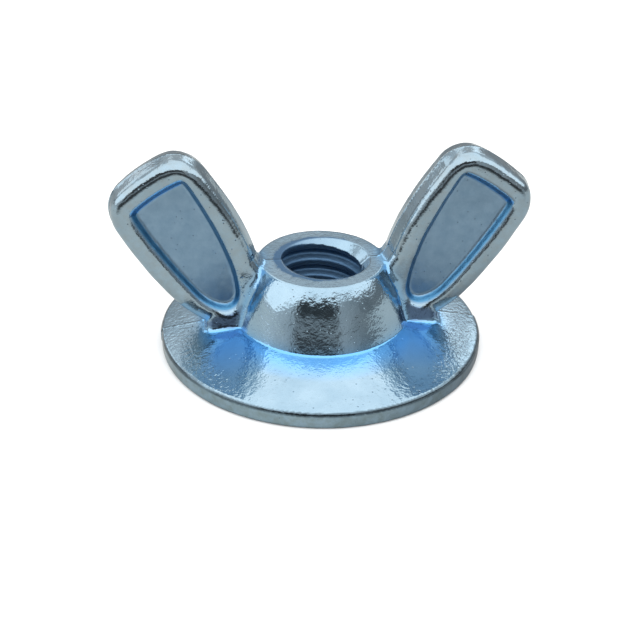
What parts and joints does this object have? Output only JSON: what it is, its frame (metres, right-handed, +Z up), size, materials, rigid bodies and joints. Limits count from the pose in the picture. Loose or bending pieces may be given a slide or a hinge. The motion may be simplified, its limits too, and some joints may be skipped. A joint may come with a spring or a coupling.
{
  "type": "wing nut",
  "caption": "Die-cast zinc wing nut with a wide washer base, a conical threaded hub and dished wings, turned by hand to clamp on a 1/4-20 stud.",
  "frame": {"origin": "centre of the flat underside, on the thread's axis", "axes": "+Z up along the thread's axis, away from the clamped surface; +X and -X through the two wings; the casting's parting plane is y = 0"},
  "size_m": [0.0278, 0.0222, 0.0141],
  "materials": {
    "bright_zinc": "blue-white bright zinc plate over a zinc die casting: satin to semi-bright, with a fine cast orange peel"
  },
  "bodies": {
    "root": {"wing_nut_casting": "bright_zinc"}
  },
  "joints": []
}
